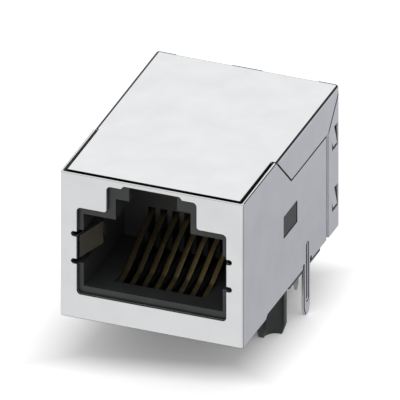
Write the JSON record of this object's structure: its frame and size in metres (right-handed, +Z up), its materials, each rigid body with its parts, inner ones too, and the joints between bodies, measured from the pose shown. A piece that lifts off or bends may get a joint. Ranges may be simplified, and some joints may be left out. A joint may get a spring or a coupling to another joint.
{
  "type": "shielded modular board jack",
  "caption": "Shielded side-entry modular jack for a circuit board, with sprung gold contacts, fluted locating pegs, ground pins and solder tails.",
  "frame": {"origin": "on the board's surface, midway between the two locating pegs", "axes": "+X across the width, +Y from the port towards the rear, +Z up from the board"},
  "size_m": [0.0154, 0.0212, 0.0171],
  "materials": {
    "shield": "matte tin-plated sheet",
    "housing": "black moulded plastic",
    "carrier": "black moulded plastic",
    "contact": "gold-plated strip",
    "tail": "tin-plated wire",
    "board": "green coated laminate",
    "resin": "cast potting resin"
  },
  "bodies": {
    "root": {"shell_front": "shield", "shell_cover": "shield", "housing": "housing", "contact_carrier": "carrier", "circuit_board": "board", "transformer_block": "resin", "contact_1": "contact", "contact_2": "contact", "contact_3": "contact", "contact_4": "contact", "contact_5": "contact", "contact_6": "contact", "contact_7": "contact", "contact_8": "contact", "tail_1": "tail", "tail_2": "tail", "tail_3": "tail", "tail_4": "tail", "tail_5": "tail", "tail_6": "tail", "tail_7": "tail", "tail_8": "tail", "tail_9": "tail", "tail_10": "tail"}
  },
  "joints": []
}
